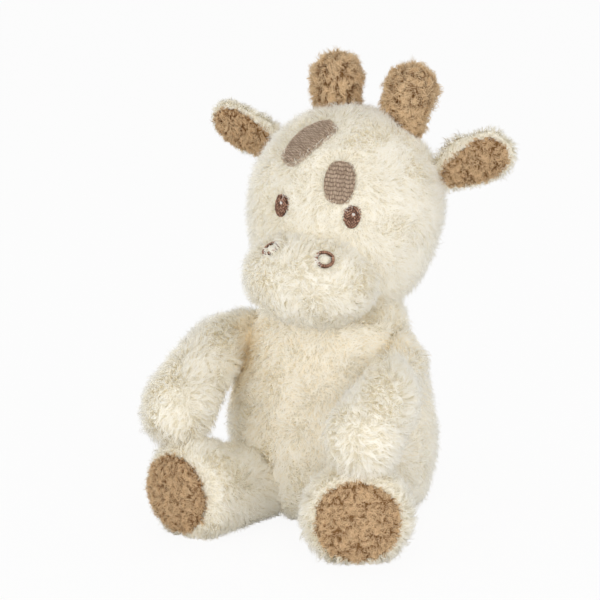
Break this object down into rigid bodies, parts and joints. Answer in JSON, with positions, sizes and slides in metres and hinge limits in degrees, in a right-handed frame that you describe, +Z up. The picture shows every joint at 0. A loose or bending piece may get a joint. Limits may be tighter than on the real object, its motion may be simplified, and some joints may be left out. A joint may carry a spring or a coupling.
{
  "type": "plush giraffe night light",
  "caption": "Sitting plush giraffe with shaggy cream pile, brown horns, ears and soles, and a battery night light in a pocket of its belly that opens at the back.",
  "frame": {"origin": "on the floor plane at the flat seat under the torso, on the torso's vertical axis", "axes": "+Z up through the head, -Y where the giraffe looks, +X towards its left side"},
  "size_m": [0.1795, 0.196, 0.2482],
  "materials": {
    "cream_fleece": "long shaggy curly polyester pile, cream",
    "brown_fleece": "short curly polyester pile, tan brown",
    "patch_embroidery": "satin stitch embroidery, taupe, slight sheen",
    "face_embroidery": "satin stitch embroidery, dark brown, slight sheen",
    "tape": "hook and loop tape, cream",
    "lining": "thin woven pocket lining, off-white",
    "lamp_shell": "moulded plastic, satin white",
    "diffuser": "translucent moulded plastic, glowing warm white",
    "board": "green solder mask",
    "led": "clear epoxy, glowing warm white",
    "cell": "printed sleeve, plain dark grey",
    "steel": "nickel plated steel",
    "control": "moulded plastic, beige"
  },
  "bodies": {
    "torso": {"torso": "cream_fleece", "pocket_lining": "lining", "loop_tape": "tape"},
    "head": {"head": "cream_fleece", "muzzle": "cream_fleece", "eye_left": "face_embroidery", "eye_right": "face_embroidery", "nostril_left": "face_embroidery", "nostril_right": "face_embroidery", "patch_left": "patch_embroidery", "patch_right": "patch_embroidery", "ossicone_left": "brown_fleece", "ossicone_right": "brown_fleece"},
    "ear_left": {"ear_back_left": "cream_fleece", "ear_lining_left": "brown_fleece"},
    "ear_right": {"ear_back_right": "cream_fleece", "ear_lining_right": "brown_fleece"},
    "arm_left": {"arm_left": "cream_fleece"},
    "arm_right": {"arm_right": "cream_fleece"},
    "leg_left": {"leg_left": "cream_fleece", "foot_pad_left": "brown_fleece"},
    "leg_right": {"leg_right": "cream_fleece", "foot_pad_right": "brown_fleece"},
    "tail": {"tail": "cream_fleece", "tail_tuft": "brown_fleece"},
    "flap": {"pocket_flap": "cream_fleece", "hook_tape": "tape"},
    "light_unit": {"lamp_housing": "lamp_shell", "bezel_ring": "lamp_shell", "diffuser_dome": "diffuser", "circuit_board": "board", "led_1": "led", "led_2": "led", "led_3": "led", "battery_1": "cell", "battery_2": "cell", "battery_3": "cell", "contact_top": "steel", "contact_bottom": "steel", "button_switch": "steel"},
    "battery_door": {"battery_door": "lamp_shell", "door_screw": "steel"},
    "push_button": {"push_button": "control"},
    "mode_knob": {"mode_knob": "control"}
  },
  "joints": [
    {"name": "head_turn", "type": "hinge", "parent": "torso", "child": "head", "pos_m": [0.005, 0.004, 0.17], "axis": [0.0869, 0.0061, 0.9962], "range_deg": [-20, 20]},
    {"name": "ear_left_flop", "type": "hinge", "parent": "head", "child": "ear_left", "pos_m": [0.05719, 0.02168, 0.18742], "axis": [-0.0698, 0.9976, 0], "range_deg": [-12, 25]},
    {"name": "ear_right_flop", "type": "hinge", "parent": "head", "child": "ear_right", "pos_m": [-0.04532, 0.01452, 0.19641], "axis": [0.0698, -0.9976, 0], "range_deg": [-12, 25]},
    {"name": "arm_left_raise", "type": "hinge", "parent": "torso", "child": "arm_left", "pos_m": [0.043, -0.003, 0.09], "axis": [-1, 0, 0], "range_deg": [0, 40]},
    {"name": "arm_right_raise", "type": "hinge", "parent": "torso", "child": "arm_right", "pos_m": [-0.043, -0.003, 0.09], "axis": [-1, 0, 0], "range_deg": [0, 40]},
    {"name": "leg_left_swing", "type": "hinge", "parent": "torso", "child": "leg_left", "pos_m": [0.03, -0.032, 0], "axis": [0, 0, 1], "range_deg": [-12, 20]},
    {"name": "leg_right_swing", "type": "hinge", "parent": "torso", "child": "leg_right", "pos_m": [-0.03, -0.032, 0], "axis": [0, 0, -1], "range_deg": [-6, 24]},
    {"name": "tail_swing", "type": "hinge", "parent": "torso", "child": "tail", "pos_m": [0, 0.04402, 0.015], "axis": [0, 0, 1], "range_deg": [-25, 25]},
    {"name": "flap_open", "type": "hinge", "parent": "torso", "child": "flap", "pos_m": [0, 0.0345, 0.105], "axis": [1, 0, 0], "range_deg": [0, 130]},
    {"name": "light_unit_slide", "type": "slide", "parent": "torso", "child": "light_unit", "axis": [0, 1, 0], "range_m": [0, 0.044]},
    {"name": "battery_door_lift", "type": "slide", "parent": "light_unit", "child": "battery_door", "axis": [0, 1, 0], "range_m": [0, 0.014]},
    {"name": "button_press", "type": "slide", "parent": "light_unit", "child": "push_button", "axis": [0, -1, 0], "range_m": [0, 0.001], "stiffness_N_per_m": 40, "springref_m": -0.0005},
    {"name": "mode_slide", "type": "slide", "parent": "light_unit", "child": "mode_knob", "axis": [0, 0, 1], "range_m": [0, 0.003]}
  ],
  "couplings": [
    {"joint": "flap_open", "follows": "light_unit_slide", "rad_per_m": 51.5},
    {"joint": "battery_door_lift", "follows": "light_unit_slide", "ratio": 0.29}
  ]
}
